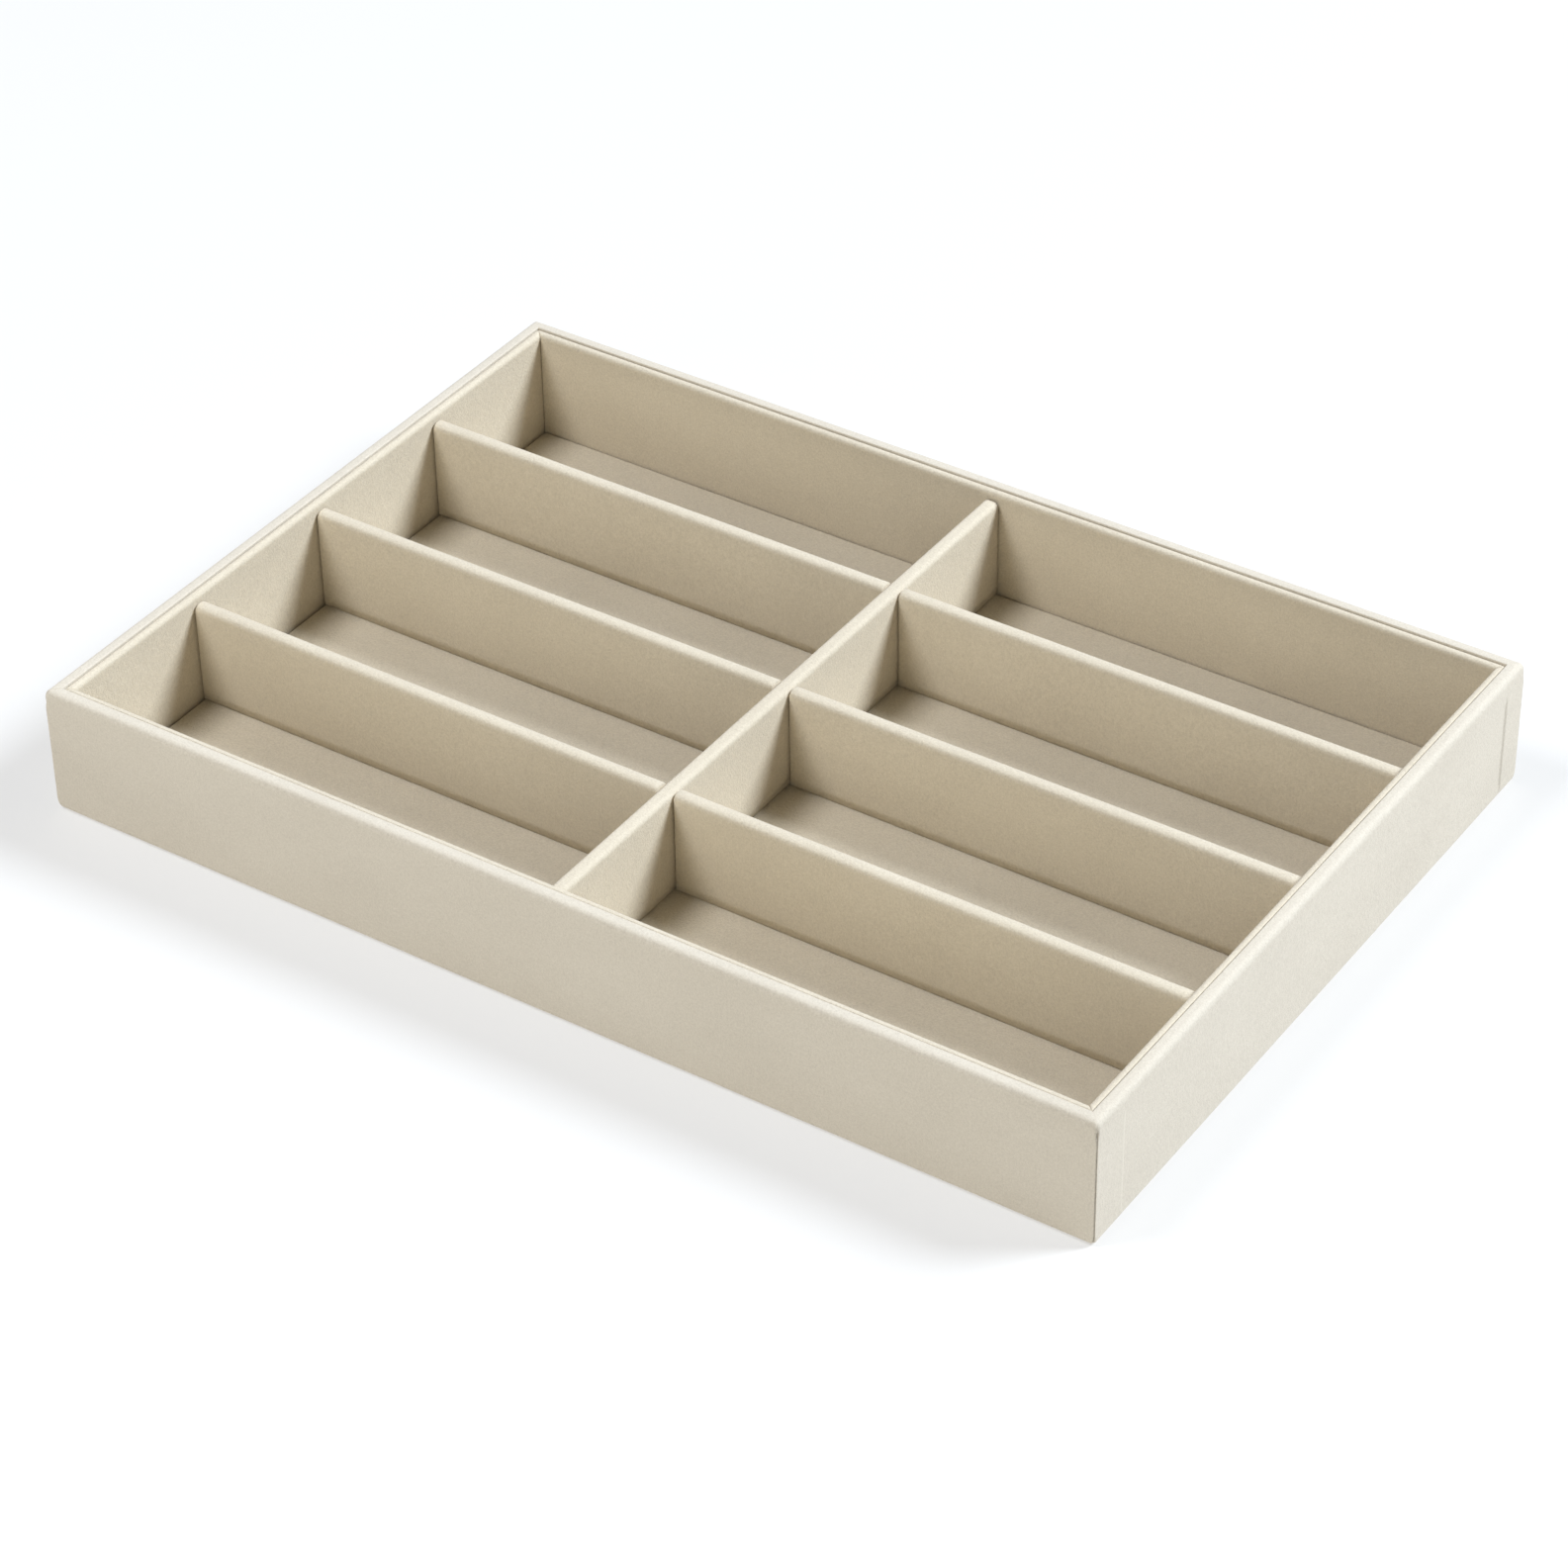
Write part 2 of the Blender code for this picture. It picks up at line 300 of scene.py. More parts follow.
def mesh_from(name, vertices, faces, wear_and_painted_light):
    """A smooth mesh with a per-vertex colour value: up to 1 on edges painted lighter for scuffs and
    as a painted highlight, 0 on flats, down to -1 in seams painted darker as a painted shadow with
    a glue line.
    """
    mesh = bpy.data.meshes.new(name)
    mesh.from_pydata([tuple(vertex) for vertex in vertices], [], faces)
    mesh.validate()
    attribute = mesh.attributes.new("wear_and_painted_light", "FLOAT", "POINT")
    attribute.data.foreach_set("value", np.asarray(wear_and_painted_light, np.float32))
    mesh.shade_smooth()
    mesh.set_sharp_from_angle(angle=math.radians(SHARP_DEGREES))
    return mesh


def grid_faces(rows, columns, start, flipped):
    """The quads of a grid whose first point has the index start."""
    faces = []
    for row in range(rows - 1):
        for column in range(columns - 1):
            first = start + row * columns + column
            face = (first, first + 1, first + columns + 1, first + columns)
            faces.append(face[::-1] if flipped else face)
    return faces


def border(rows, columns):
    """The grid's outline, as indices in one closed loop."""
    loop = list(range(columns))
    loop += [row * columns + columns - 1 for row in range(1, rows)]
    loop += [(rows - 1) * columns + column for column in range(columns - 2, -1, -1)]
    loop += [row * columns for row in range(rows - 2, 0, -1)]
    return loop


def closed_sheet(name, outer, inner, wear_and_painted_light):
    """A sheet of cloth as one closed mesh, from two grids of points that face each other."""
    rows, columns = outer.shape[:2]
    count = rows * columns
    faces = grid_faces(rows, columns, 0, False) + grid_faces(rows, columns, count, True)
    loop = border(rows, columns)
    for first, second in zip(loop, loop[1:] + loop[:1]):
        faces.append((second, first, first + count, second + count))
    vertices = np.concatenate([outer.reshape(-1, 3), inner.reshape(-1, 3)])
    return mesh_from(name, vertices, faces, np.concatenate([wear_and_painted_light.ravel(), wear_and_painted_light.ravel()]))


# --- Covers of the four frame sides ---------------------------------------------------------


def side_length(side):
    return DEPTH if side in ("left", "right") else LENGTH


def side_depth(side):
    return LENGTH if side in ("left", "right") else DEPTH


def spaced(start, end, step):
    """Points from start to before end, about a step apart."""
    count = max(LEAST_STEPS, round(math.dist(start, end) / step))
    return [
        tuple(start[i] + (end[i] - start[i]) * k / count for i in range(2)) for k in range(count)
    ]


def direction(start, end):
    """The unit vector from start to end."""
    length = math.dist(start, end)
    return ((end[0] - start[0]) / length, (end[1] - start[1]) / length)


def rounded_profile(corners, radii, step):
    """Points, outward normals and a rounding measure along a path with rounded square corners.

    Corners are (inward, height). The outside of the cloth is on the left of the path.
    """
    points, normals, rounding = [], [], []
    here = corners[0]
    for before, corner, after, radius in zip(corners, corners[1:], corners[2:], radii):
        entering = direction(before, corner)
        leaving = direction(corner, after)
        arc_start = tuple(corner[i] - entering[i] * radius for i in range(2))
        for point in spaced(here, arc_start, step):
            points.append(point)
            normals.append((-entering[1], entering[0]))
            rounding.append(0.0)
        centre = tuple(arc_start[i] + leaving[i] * radius for i in range(2))
        steps = max(LEAST_ARC_STEPS, round(radius / ARC_STEP))
        for k in range(steps):
            angle = math.pi / 2 * k / steps
            turned = (math.sin(angle), math.cos(angle))
            out = tuple(entering[i] * turned[0] - leaving[i] * turned[1] for i in range(2))
            points.append(tuple(centre[i] + radius * out[i] for i in range(2)))
            normals.append(out)
            rounding.append(math.sin(2 * angle))
        here = tuple(corner[i] + leaving[i] * radius for i in range(2))
    leaving = direction(corners[-2], corners[-1])
    for point in spaced(here, corners[-1], step) + [corners[-1]]:
        points.append(point)
        normals.append((-leaving[1], leaving[0]))
        rounding.append(0.0)
    return np.array(points), np.array(normals), np.array(rounding)


def flap_widths(side):
    """The width of the flap under the cloth at the start and at the end of a side.

    Seen from outside, a side runs from left to right.
    """
    widths = (FLAP_WIDTH_FRONT, FLAP_WIDTH_BACK)
    return widths if side == "right" else widths[::-1]


def end_distances(flap_width):
    """Distances from the end of a side where the mesh has a column: close together at the seam
    and at the edge of the flap under the cloth."""
    in_seam = 1 + round(SEAM_STEPS * (1 + SEAM_MOUTH))
    seam = [SEAM_WIDTH * k / SEAM_STEPS for k in range(in_seam)]
    between = [flap_width * k / FLAP_STEPS for k in range(2, FLAP_STEPS - 1)]
    edge_steps = range(-FLAP_EDGE_STEPS, FLAP_EDGE_STEPS + 1)
    edge = [flap_width + FLAP_EDGE_STEP * k for k in edge_steps]
    rest = END_ZONE - edge[-1]
    beyond = [edge[-1] + rest * k / END_STEPS for k in range(1, END_STEPS + 1)]
    return np.array(sorted(seam + between + edge + beyond))


def along_side(half, flaps, middle_step):
    """For each column: its distance from the nearer end, the sign of its side, and its share of
    the middle stretch, for a side whose two halves have this length."""
    middle = half - END_ZONE
    count = max(LEAST_STEPS, round(2 * middle / middle_step))
    shares = np.linspace(-1, 1, count + 1)[1:-1]
    left = [(distance, -1.0, None) for distance in end_distances(flaps[0])]
    right = [(distance, 1.0, None) for distance in end_distances(flaps[1])[::-1]]
    centre = [(None, math.copysign(1.0, share), abs(share)) for share in shares]
    return left + centre + right


def plan_point(half, inset, radius, distance, sign, share):
    """A point of one frame side seen from above, and its outward direction.

    The side runs along X and faces -Y. It turns 45 degrees of each corner, where the next takes
    over. inset is how far in the line lies, and half is half the side's length less that inset.
    """
    run = half - radius + radius * math.pi / 4
    travelled = (run - END_ZONE) * share if distance is None else run - distance
    straight = half - radius
    if travelled <= straight:
        return (sign * travelled, inset), (0.0, -1.0)
    angle = (travelled - straight) / radius
    x = straight + radius * math.sin(angle)
    y = inset + radius * (1 - math.cos(angle))
    return (sign * x, y), (sign * math.sin(angle), -math.cos(angle))


def side_grid(side, points, normals, radii, columns, seed, relief):
    """The points of one skin of a frame side, in the tray's frame."""
    rows = len(points)
    grid = np.zeros((rows, len(columns), 3))
    outward = np.zeros_like(grid)
    for row in range(rows):
        inward, height = points[row]
        across, up = normals[row]
        radius = max(radii[row] - inward, LEAST_RADIUS)
        half = side_length(side) / 2 - inward
        for column, (distance, sign, share) in enumerate(columns):
            place, (out_x, out_y) = plan_point(half, inward, radius, distance, sign, share)
            grid[row, column] = (place[0], place[1] - side_depth(side) / 2, height)
            outward[row, column] = (-across * out_x, -across * out_y, up)
    turn = np.array(Matrix.Rotation(math.radians(TURNS[side]), 3, "Z"))
    grid = grid @ turn.T
    outward = outward @ turn.T
    lift = waves(grid, seed) + relief
    return grid + outward * lift[..., None]


def from_end(columns, far=1.0):
    """Distance from the nearer end for each column, or far in the middle stretch."""
    return np.array([far if distance is None else distance for distance, _, _ in columns])


def seam_dip(distance, width):
    """How deep the cloth tucks in at a corner seam, from 0 to 1, for each row and column."""
    inside = np.clip(1 - distance[None, :] / width[:, None], 0, 1)
    return 1 - np.sqrt(1 - inside**2)


def side_sheet(name, side, corners, round_radii, corner_radius, skin, seam, flap, seed):
    """The cover of one side. seam and flap give those features' share at each height."""
    points, normals, rounding = rounded_profile(corners, round_radii, ROW_STEP)
    heights = points[:, 1]
    outer_face = (normals[:, 0] < -OUTSIDE_TILT).astype(float)
    flaps = flap_widths(side)
    columns = along_side(side_length(side) / 2, flaps, COLUMN_STEP)
    distance = from_end(columns)
    flap_edge = np.array([flaps[0] if sign < 0 else flaps[1] for _, sign, _ in columns])
    past_flap = distance - flap_edge
    share, widening = seam(heights, outer_face)
    dip = seam_dip(distance, SEAM_WIDTH * widening) * share[:, None]
    relief = -SEAM_DEPTH * dip * widening[:, None]
    step = smooth_step(-FLAP_SOFTNESS, FLAP_SOFTNESS, past_flap)
    step *= 1 - smooth_step(0.0, FLAP_RECOVERY, past_flap)
    relief -= FLAP_STEP * np.outer(flap(heights, outer_face), step)
    radii = corner_radius(heights)
    outer = side_grid(side, points, normals, radii, columns, seed, relief)
    inner_points = points - normals * skin
    inner = side_grid(side, inner_points, normals, radii, columns, seed, relief)
    # Painted lighter along the flap's ridge: partly scuffed nap, partly a painted highlight
    edge = np.exp(-((past_flap / FLAP_SOFTNESS) ** 2))
    flap_wear_and_highlight = FLAP_WEAR_AND_HIGHLIGHT * np.outer(flap(heights, outer_face), edge)
    # Colour value: lighter on rounded edges and the flap's ridge, scuffed nap with a painted
    # highlight; darker in seams, a painted shadow with a glue line
    wear_and_painted_light = np.outer(rounding, np.ones(len(columns))) + flap_wear_and_highlight - dip
    return link(name, closed_sheet(name, outer, inner, wear_and_painted_light))


def outer_cover(side, seed):
    """One wall's cover: under the foot, up the outside, over the rim and down inside."""
    rim = HEIGHT
    corners = [
        (WALL_INNER, 0.0),
        (0.0, 0.0),
        (0.0, rim),
        (WALL_INNER, rim),
        (WALL_INNER, rim - WALL_TURN_DOWN),
    ]
    radii = (WALL_FOOT_RADIUS, WALL_TOP_RADIUS, WALL_GROOVE_RADIUS)

    def corner_radius(heights):
        at_rim = smooth_step(rim - RIM_CORNER_BELOW_RIM[0], rim - RIM_CORNER_BELOW_RIM[1], heights)
        at_foot = 1 - smooth_step(*FOOT_CORNER_HEIGHTS, heights)
        rounder = np.maximum(at_rim, at_foot)
        return CORNER_RADIUS + (CORNER_RADIUS_AT_RIM - CORNER_RADIUS) * rounder

    def seam(heights, outer_face):
        start = rim - SEAM_STARTS_BELOW_RIM
        below_rim = 1 - smooth_step(start - SEAM_FADE, start, heights)
        share = SEAM_LEAST_SHARE + (1 - SEAM_LEAST_SHARE) * outer_face * below_rim
        mouth = np.exp(-(((heights - start + SEAM_MOUTH_LENGTH) / SEAM_MOUTH_LENGTH) ** 2))
        return share, 1 + SEAM_MOUTH * mouth * outer_face

    def flap(heights, outer_face):
        if side in ("front", "back"):
            return np.zeros_like(heights)
        start = rim - FLAP_STARTS_BELOW_RIM
        below_rim = 1 - smooth_step(start - FLAP_FADE, start, heights)
        return outer_face * below_rim * smooth_step(0.0, FLAP_FADE, heights)

    return side_sheet(
        f"{side}_wall_suede", side, corners, radii, corner_radius, WALL_SKIN, seam, flap, seed
    )


def liner_cover(side, seed):
    """One side of the lining frame: up its back, over the top and down the face."""
    top = LINER_HIGH.z + LINER_RISE
    bottom = LINER_LOW.z
    corners = [
        (LINER_OUTER, top - LINER_TURN_DOWN),
        (LINER_OUTER, top),
        (LINER_INNER, top),
        (LINER_INNER, bottom),
    ]
    radii = (LINER_GROOVE_RADIUS, LINER_TOP_RADIUS)

    def corner_radius(heights):
        return np.zeros_like(heights)

    def seam(heights, _):
        return np.full_like(heights, LINER_SEAM_SHARE), np.ones_like(heights)

    def flap(heights, _):
        return np.zeros_like(heights)

    return side_sheet(
        f"{side}_liner_suede", side, corners, radii, corner_radius, LINER_SKIN, seam, flap, seed
    )


# --- Covers that are rounded blocks, open below ---------------------------------------------


def stations(low, high, low_radius, high_radius, step):
    """Places along one axis, closer together inside the rounded ends."""
    quarter = [math.pi / 2 * k / ROUND_STEPS for k in range(ROUND_STEPS + 1)]
    places = []
    if low_radius:
        places += [low + low_radius * (1 - math.cos(angle)) for angle in quarter[:-1]]
    start = low + low_radius
    end = high - high_radius
    count = max(LEAST_STEPS, round((end - start) / step))
    places += [start + (end - start) * k / count for k in range(count + 1)]
    if high_radius:
        places += [end + high_radius * math.sin(angle) for angle in quarter[1:]]
    return places


def block_faces(xs, ys, zs):
    """The four sides and the top of a block as point grids, each seen from outside."""

    def grid(rows, columns, place):
        return np.array([[place(row, column) for column in columns] for row in rows])

    return [
        grid(zs, xs, lambda z, x: (x, ys[0], z)),
        grid(zs, xs[::-1], lambda z, x: (x, ys[-1], z)),
        grid(zs, ys[::-1], lambda z, y: (xs[0], y, z)),
        grid(zs, ys, lambda z, y: (xs[-1], y, z)),
        grid(ys, xs, lambda y, x: (x, y, zs[-1])),
    ]


def round_block(points, low, high, radii):
    """Moves points on a block's faces onto its rounded form, which has no rounding below.

    Gives the new points, their outward directions and how much lighter the edge is painted there,
    for scuffed nap and as a painted highlight.
    """
    radii = np.array(radii)
    core_low = np.array(low) + radii * (1, 1, 0)
    core_high = np.array(high) - radii
    core = np.clip(points, core_low, core_high)
    away = (points - core) / radii
    length = np.linalg.norm(away, axis=-1, keepdims=True)
    normal = away / np.maximum(length, TINY)
    outward = normal / radii
    outward /= np.maximum(np.linalg.norm(outward, axis=-1, keepdims=True), TINY)
    wear_and_painted_light = 1 - np.max(np.abs(normal), axis=-1)
    return core + normal * radii, outward, np.clip(wear_and_painted_light / FULL_EDGE_LIGHTENING_TURN, 0, 1)


def block_cover(name, node, radii, step, seed, crown=0.0, reach=0.0):
    """A cover over a CAD node's box: four sides and a top, open below, thickened inwards.

    crown swells its middle, and reach lengthens it at both ends of its X axis.
    """
    low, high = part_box(node)
    low.x -= reach
    high.x += reach
    xs = stations(low.x, high.x, radii[0], radii[0], step)
    ys = stations(low.y, high.y, radii[1], radii[1], step)
    zs = stations(low.z, high.z, 0.0, radii[2], step)
    vertices, faces, wear_and_painted_light_parts = [], [], []
    for face in block_faces(xs, ys, zs):
        placed, outward, wear_and_painted_light = round_block(face, low, high, radii)
        lift = waves(placed, seed) + crown * crowning(placed, low, high)
        start = sum(len(block) for block in vertices)
        faces += grid_faces(*face.shape[:2], start, False)
        vertices.append((placed + outward * lift[..., None]).reshape(-1, 3))
        wear_and_painted_light_parts.append(wear_and_painted_light.ravel())
    mesh = mesh_from(name, np.concatenate(vertices), faces, np.concatenate(wear_and_painted_light_parts))
    weld(mesh)
    item = link(name, mesh)
    skin = item.modifiers.new("skin", "SOLIDIFY")
    skin.thickness = BLOCK_SKIN
    skin.offset = -1.0
    return item


def crowning(points, low, high):
    """1 in the middle of a block's length and height, 0 at its edges."""

    def arch(axis):
        share = (points[..., axis] - low[axis]) / (high[axis] - low[axis])
        return np.sin(np.pi * np.clip(share, 0, 1))

    return arch(0 if high[0] - low[0] > high[1] - low[1] else 1) * arch(2)


def weld(mesh):
    """Joins the faces of a block along their shared edges, and turns them outwards."""
    work = bmesh.new()
    work.from_mesh(mesh)
    bmesh.ops.remove_doubles(work, verts=work.verts, dist=WELD_DISTANCE)
    bmesh.ops.recalc_face_normals(work, faces=work.faces)
    work.to_mesh(mesh)
    work.free()


# --- Materials ------------------------------------------------------------------------------


class Nodes:
    """A small helper that adds and joins shader nodes."""

    def __init__(self, name):
        self.material = bpy.data.materials.new(name)
        self.material.use_nodes = True
        self.tree = self.material.node_tree
        self.shader = self.tree.nodes["Principled BSDF"]
        self.place = self.tree.nodes.new("ShaderNodeTexCoord").outputs["Object"]

    def join(self, source, target):
        self.tree.links.new(source, target)

    def noise(self, scale, detail=2.0, roughness=0.5, stretch=None):
        node = self.tree.nodes.new("ShaderNodeTexNoise")
        node.inputs["Scale"].default_value = scale
        node.inputs["Detail"].default_value = detail
        node.inputs["Roughness"].default_value = roughness
        place = self.place
        if stretch:
            mapping = self.tree.nodes.new("ShaderNodeMapping")
            mapping.inputs["Scale"].default_value = stretch
            self.join(self.place, mapping.inputs["Vector"])
            place = mapping.outputs["Vector"]
        self.join(place, node.inputs["Vector"])
        return node.outputs["Fac"]

    def math(self, operation, first, second):
        node = self.tree.nodes.new("ShaderNodeMath")
        node.operation = operation
        for socket, value in zip(node.inputs, (first, second)):
            if isinstance(value, (int, float)):
                socket.default_value = value
            else:
                self.join(value, socket)
        return node.outputs["Value"]

    def weighted(self, parts, middle):
        """middle plus each source's distance from 0.5, times its weight."""
        total = middle
        for source, weight in parts:
            change = self.math("MULTIPLY", self.math("SUBTRACT", source, 0.5), weight)
            total = self.math("ADD", change, total)
        return total

    def ramp(self, factor, stops):
        node = self.tree.nodes.new("ShaderNodeValToRGB")
        elements = node.color_ramp.elements
        elements[0].position, elements[0].color = stops[0][0], (*stops[0][1], 1.0)
        elements[1].position, elements[1].color = stops[-1][0], (*stops[-1][1], 1.0)
        for position, colour in stops[1:-1]:
            elements.new(position).color = (*colour, 1.0)
        self.join(factor, node.inputs["Fac"])
        return node.outputs["Color"]

    def bump(self, height, strength, distance):
        node = self.tree.nodes.new("ShaderNodeBump")
        node.inputs["Strength"].default_value = strength
        node.inputs["Distance"].default_value = distance
        self.join(height, node.inputs["Height"])
        self.join(node.outputs["Normal"], self.shader.inputs["Normal"])

    def attribute(self, name):
        node = self.tree.nodes.new("ShaderNodeAttribute")
        node.attribute_name = name
        return node.outputs["Fac"]


def suede(name, dark, middle, light, relief):
    """Micro-suede: a short dense nap, mottled at about a millimetre, with faint brushed patches."""
    nodes = Nodes(name)
    noises = {
        "fibres": nodes.noise(SUEDE_SCALE["fibres"], 2.0, 0.7),
        "nap": nodes.noise(SUEDE_SCALE["nap"], 3.0, 0.7, stretch=NAP_STRETCH),
        "mottle": nodes.noise(SUEDE_SCALE["mottle"], 2.0, 0.6),
        "brushed": nodes.noise(SUEDE_SCALE["brushed"], 2.0, 0.5, stretch=BRUSHED_STRETCH),
    }
    # Edges are painted lighter (scuffed nap and a painted highlight), seams darker (a painted
    # shadow with a glue line)
    edge_wear_and_highlight = nodes.math("MAXIMUM", nodes.attribute("wear_and_painted_light"), 0.0)
    seam_shadow_and_glue = nodes.math("MINIMUM", nodes.attribute("wear_and_painted_light"), 0.0)
    edge_wear_and_highlight_shade = nodes.math("MULTIPLY", edge_wear_and_highlight, EDGE_WEAR_AND_HIGHLIGHT_SHADE)
    seam_shadow_and_glue_shade = nodes.math("MULTIPLY", seam_shadow_and_glue, SEAM_SHADOW_AND_GLUE_SHADE)
    shade = nodes.weighted([(noises[key], SUEDE_SHADE[key]) for key in SUEDE_SHADE], 0.5)
    shade = nodes.math("ADD", shade, nodes.math("ADD", edge_wear_and_highlight_shade, seam_shadow_and_glue_shade))
    seam_shadow_and_glue_colour = tuple(SEAM_SHADOW_AND_GLUE_TONE * value for value in dark)
    nodes.join(
        nodes.ramp(shade, tuple(zip(SUEDE_STOPS, (seam_shadow_and_glue_colour, dark, middle, light)))),
        nodes.shader.inputs["Base Color"],
    )
    rough = nodes.weighted(((noises["mottle"], SUEDE_ROUGHNESS_SPREAD),), SUEDE_ROUGHNESS)
    nodes.join(rough, nodes.shader.inputs["Roughness"])
    height = nodes.weighted([(noises[key], SUEDE_HEIGHT[key]) for key in SUEDE_HEIGHT], 0.5)
    nodes.bump(height, SUEDE_BUMP, relief)
    nodes.shader.inputs["Specular IOR Level"].default_value = SUEDE_SPECULAR
    nodes.shader.inputs["Sheen Weight"].default_value = SUEDE_SHEEN
    nodes.shader.inputs["Sheen Roughness"].default_value = SUEDE_SHEEN_ROUGHNESS
    nodes.shader.inputs["Sheen Tint"].default_value = SUEDE_SHEEN_TINT
    return nodes.material


def greyboard(name):
    """Raw pressed board: grey-brown with pale and dark flecks of pulp."""
    nodes = Nodes(name)
    fleck = nodes.noise(BOARD_SCALE["fleck"], 3.0, 0.7)
    cloud = nodes.noise(BOARD_SCALE["cloud"], 3.0, 0.6)
    shade = nodes.weighted(((fleck, BOARD_SHADE["fleck"]), (cloud, BOARD_SHADE["cloud"])), 0.5)
    nodes.join(nodes.ramp(shade, BOARD_TONES), nodes.shader.inputs["Base Color"])
    rough = nodes.weighted(((fleck, BOARD_ROUGHNESS_SPREAD),), BOARD_ROUGHNESS)
    nodes.join(rough, nodes.shader.inputs["Roughness"])
    nodes.bump(shade, BOARD_BUMP, BOARD_RELIEF)
    nodes.shader.inputs["Specular IOR Level"].default_value = BOARD_SPECULAR
    return nodes.material


def lining(name):
    """Thin non-woven lining: pressed fibres with a fine pebble."""
    nodes = Nodes(name)
    fibre = nodes.noise(LINING_SCALE["fibre"], 4.0, 0.7, stretch=LINING_FIBRE_STRETCH)
    cloud = nodes.noise(LINING_SCALE["cloud"], 2.0, 0.5)
    shade = nodes.weighted(((fibre, LINING_SHADE["fibre"]), (cloud, LINING_SHADE["cloud"])), 0.5)
    nodes.join(nodes.ramp(shade, LINING_TONES), nodes.shader.inputs["Base Color"])
    rough = nodes.weighted(((fibre, LINING_ROUGHNESS_SPREAD),), LINING_ROUGHNESS)
    nodes.join(rough, nodes.shader.inputs["Roughness"])
    nodes.bump(fibre, LINING_BUMP, LINING_RELIEF)
    nodes.shader.inputs["Sheen Weight"].default_value = LINING_SHEEN
    return nodes.material


def paint(item, material):
    """Gives an object this one material."""
    item.data.materials.clear()
    item.data.materials.append(material)


# --- The pieces -----------------------------------------------------------------------------


def dress(item, node, body, material):
    paint(item, material)
    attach(item, body)
    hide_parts(node)


def frame_covers(outer_material, inner_material_with_painted_shade):
    """The covers of the four walls and of the four sides of the lining frame."""
    for seed, side in enumerate(SIDES, start=FIRST_WALL_SEED):
        wall = outer_cover(side, float(seed))
        dress(
            wall, f"{side}_cover", "tray", outer_material,
        )
        liner = liner_cover(side, seed + LINER_SEED)
        dress(
            liner, f"{side}_liner_cover", "tray", inner_material_with_painted_shade,
        )


def block_sheet(node, name, body, material, radii, step, seed, crown=0.0, reach=0.0):
    item = block_cover(name, node, radii, step, seed, crown, reach)
    paint(item, material)
    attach(item, body)
    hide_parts(node)


def floor_and_dividers(material):
    """The covers of the floor card, the spine and the six dividers."""
    floor_radii = (FLOOR_EDGE_RADIUS,) * 3
    block_sheet(
        "floor_cover", "floor_suede", "tray", material, floor_radii, FLOOR_MESH_STEP, FLOOR_SEED,
    )
    spine_radii = (SPINE_RADIUS, DIVIDER_END_RADIUS, SPINE_RADIUS)
    block_sheet(
        "spine_cover", "spine_suede", "divider_grid", material, spine_radii, DIVIDER_MESH_STEP,
        SPINE_SEED, DIVIDER_CROWN,
    )
    radii = (DIVIDER_END_RADIUS, DIVIDER_RADIUS, DIVIDER_TOP_RADIUS)
    for side in ("left", "right"):
        for number in (1, 2, 3):
            seed = DIVIDER_SEED + number + (RIGHT_DIVIDER_SEED if side == "right" else 0.0)
            block_sheet(
                f"{side}_divider_cover_{number}", f"{side}_divider_suede_{number}", "divider_grid",
                material, radii, DIVIDER_MESH_STEP, seed,
                DIVIDER_CROWN, DIVIDER_REACH,
            )


def underside(material):
    """The thin lining glued under the base: a flat sheet with pressed edges and slight waves."""
    low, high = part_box("underside_lining")
    xs = stations(low.x, high.x, LINING_EDGE, LINING_EDGE, LINING_MESH_STEP)[::-1]
    ys = stations(low.y, high.y, LINING_EDGE, LINING_EDGE, LINING_MESH_STEP)
    plan = np.array([[(x, y) for x in xs] for y in ys])
    from_edges = np.concatenate([plan - (low.x, low.y), (high.x, high.y) - plan], axis=-1)
    pressed = 1 - smooth_step(0.0, LINING_EDGE, np.min(from_edges, axis=-1))
    flat_grid = np.concatenate([plan, np.full((*plan.shape[:2], 1), low.z + LINING_LIFT)], axis=-1)
    height = waves(flat_grid, LINING_SEED)
    outer = flat_grid.copy()
    outer[..., 2] += height + LINING_EDGE_RISE * pressed
    inner = flat_grid.copy()
    inner[..., 2] += height + LINING_SKIN - LINING_EDGE_RISE * pressed
    name = "underside_lining_sheet"
    item = link(name, closed_sheet(name, outer, inner, pressed))
    dress(
        item, "underside_lining", "tray", material,
    )


def paint_boards(material):
    """The boards keep their CAD shape."""
    for name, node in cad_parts.items():
        if "_board" in name:
            paint(node, material)


# --- Stage, light and camera ----------------------------------------------------------------


def floor_plane():
    """A large pale floor under the tray."""
    mesh = bpy.data.meshes.new("studio_floor")
    corners = [(-1, -1), (1, -1), (1, 1), (-1, 1)]
    mesh.from_pydata([(STAGE_HALF * x, STAGE_HALF * y, 0) for x, y in corners], [], [(0, 1, 2, 3)])
    item = link("studio_floor", mesh)
    nodes = Nodes("studio_floor")
    tone = nodes.noise(STAGE_TONE_SCALE, 2.0, 0.5)
    nodes.join(nodes.ramp(tone, STAGE_TONES), nodes.shader.inputs["Base Color"])
    nodes.shader.inputs["Roughness"].default_value = STAGE_ROUGHNESS
    nodes.shader.inputs["Specular IOR Level"].default_value = STAGE_SPECULAR
    nodes.shader.inputs["Emission Color"].default_value = (1.0, 1.0, 1.0, 1.0)
    nodes.shader.inputs["Emission Strength"].default_value = FLOOR_GLOW
    paint(item, nodes.material)
    item.location.z = -STAGE_DROP


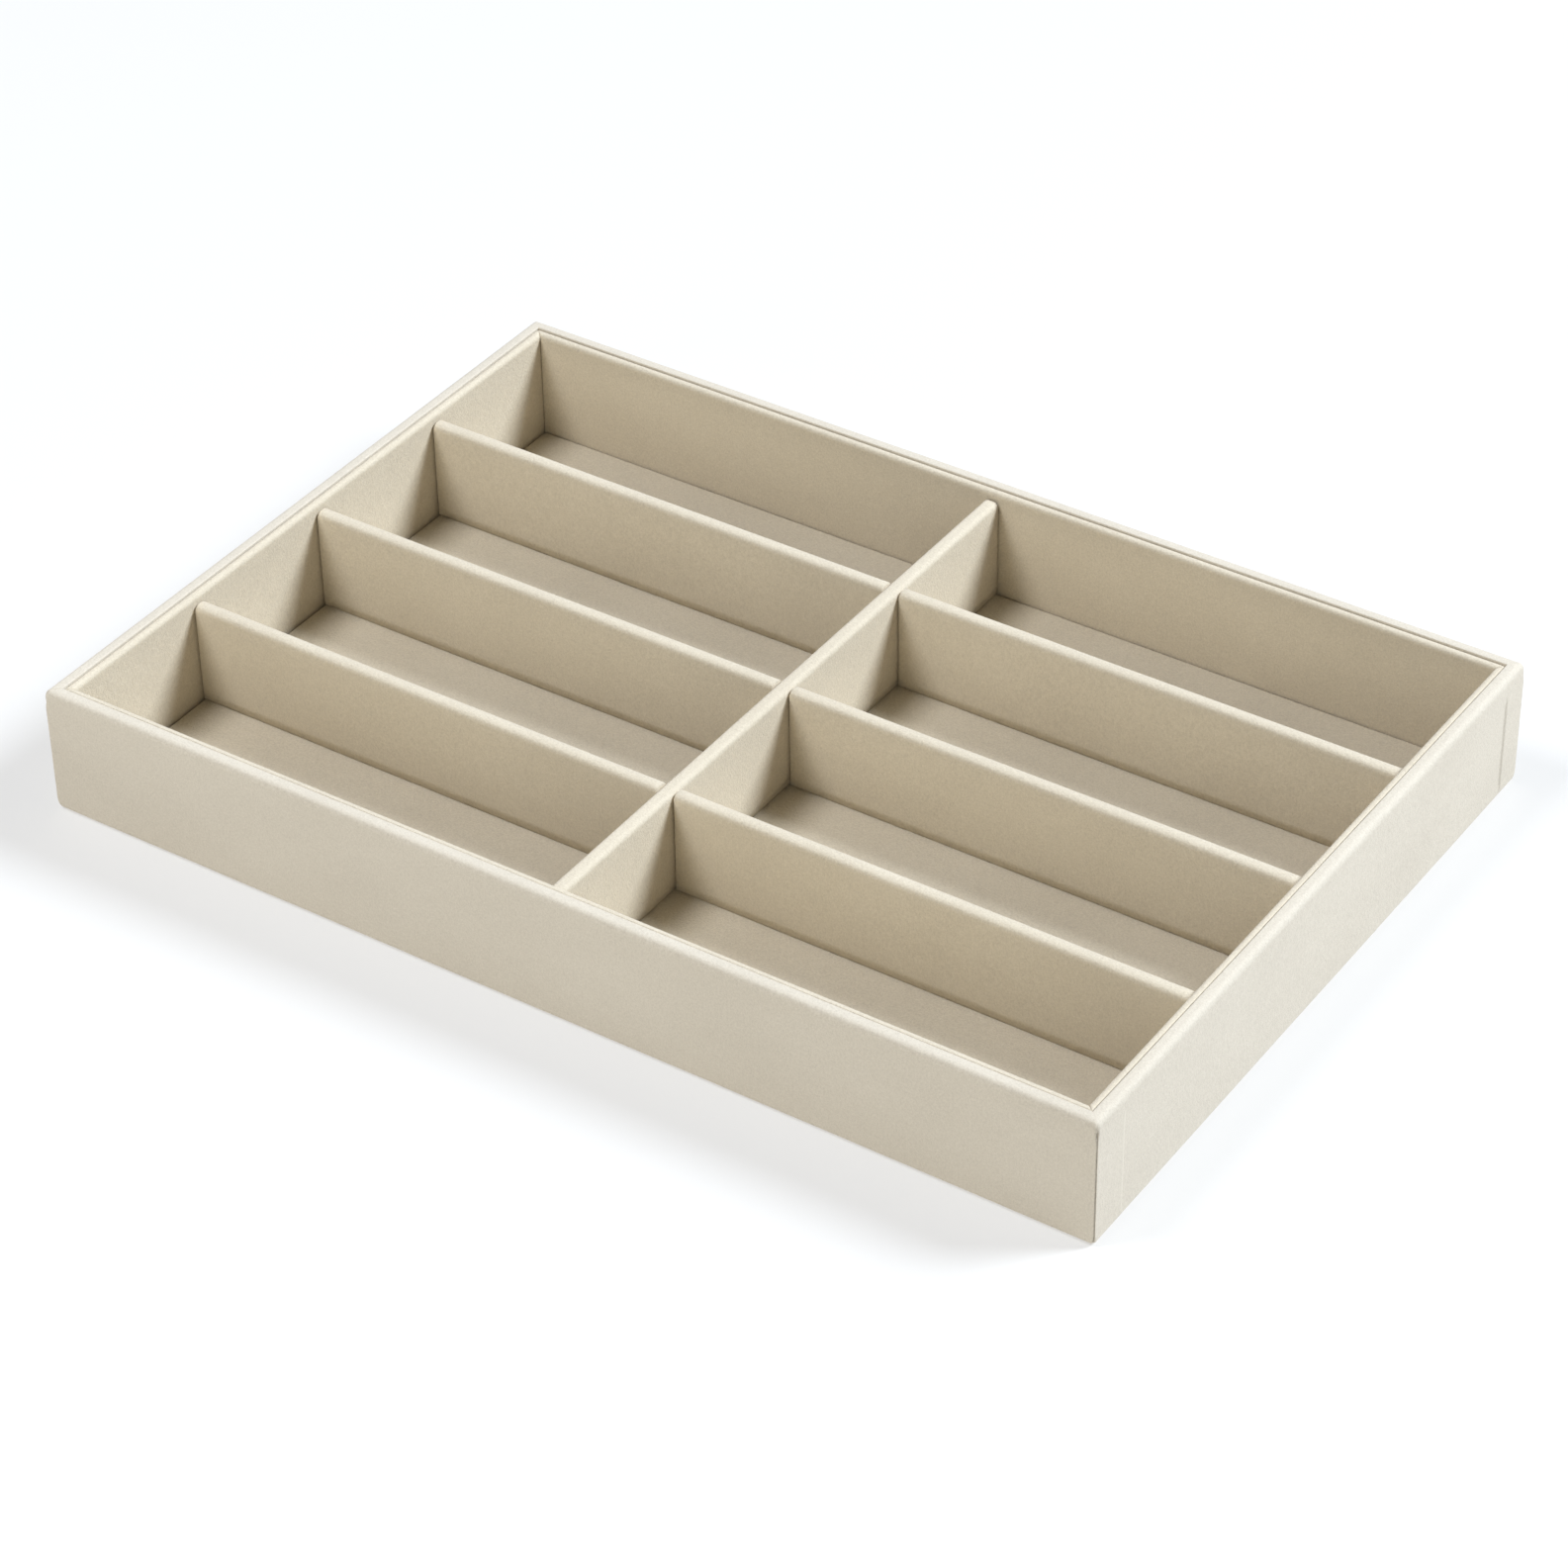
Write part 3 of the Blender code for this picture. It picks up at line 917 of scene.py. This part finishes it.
def area_light(name, towards, distance, size, power, colour):
    """A soft round light that shines on the tray from a direction."""
    data = bpy.data.lights.new(name, "AREA")
    data.shape = "DISK"
    data.size = size
    data.energy = power
    data.color = colour
    item = bpy.data.objects.new(name, data)
    bpy.context.scene.collection.objects.link(item)
    item.location = Vector(towards).normalized() * distance
    item.rotation_euler = (-item.location).to_track_quat("-Z", "Y").to_euler()


def light():
    """A soft key from behind on the right, a softbox overhead, a weak front fill and a dim sky."""
    world = bpy.data.worlds.new("studio")
    bpy.context.scene.world = world
    world.use_nodes = True
    background = world.node_tree.nodes["Background"]
    background.inputs["Color"].default_value = (1.0, 1.0, 1.0, 1.0)
    background.inputs["Strength"].default_value = SKY_STRENGTH
    area_light("key", **KEY)
    area_light("overhead", **OVERHEAD)
    area_light("fill", **FILL)


def camera():
    """A long lens that looks down on the near right corner."""
    azimuth = math.radians(CAMERA_AZIMUTH)
    elevation = math.radians(CAMERA_ELEVATION)
    back = Vector(
        (
            math.sin(azimuth) * math.cos(elevation),
            -math.cos(azimuth) * math.cos(elevation),
            math.sin(elevation),
        )
    )
    right = (-back).cross(Vector((0, 0, 1))).normalized()
    up = back.cross(right)
    roll = math.radians(CAMERA_ROLL)
    rolled_right = math.cos(roll) * right + math.sin(roll) * up
    rolled_up = math.cos(roll) * up - math.sin(roll) * right
    place = back * CAMERA_DISTANCE + rolled_right * CAMERA_SLIDE[0] + rolled_up * CAMERA_SLIDE[1]
    axes = Matrix((rolled_right, rolled_up, back)).transposed()
    data = bpy.data.cameras.new("camera")
    data.lens = CAMERA_LENS_MM
    data.sensor_width = SENSOR_MM
    data.clip_start = CAMERA_CLIP_START
    item = bpy.data.objects.new("camera", data)
    bpy.context.scene.collection.objects.link(item)
    item.matrix_world = Matrix.Translation(place) @ axes.to_4x4()
    bpy.context.scene.camera = item


camera()
outer_suede = suede("outer_suede", *OUTER_SUEDE)
inner_suede = suede("inner_suede", *INNER_SUEDE_WITH_PAINTED_SHADE)
frame_covers(outer_suede, inner_suede)
floor_and_dividers(inner_suede)
underside(lining("underside_lining"))
paint_boards(greyboard("greyboard"))
floor_plane()
light()
bpy.context.scene.view_settings.view_transform = "Standard"
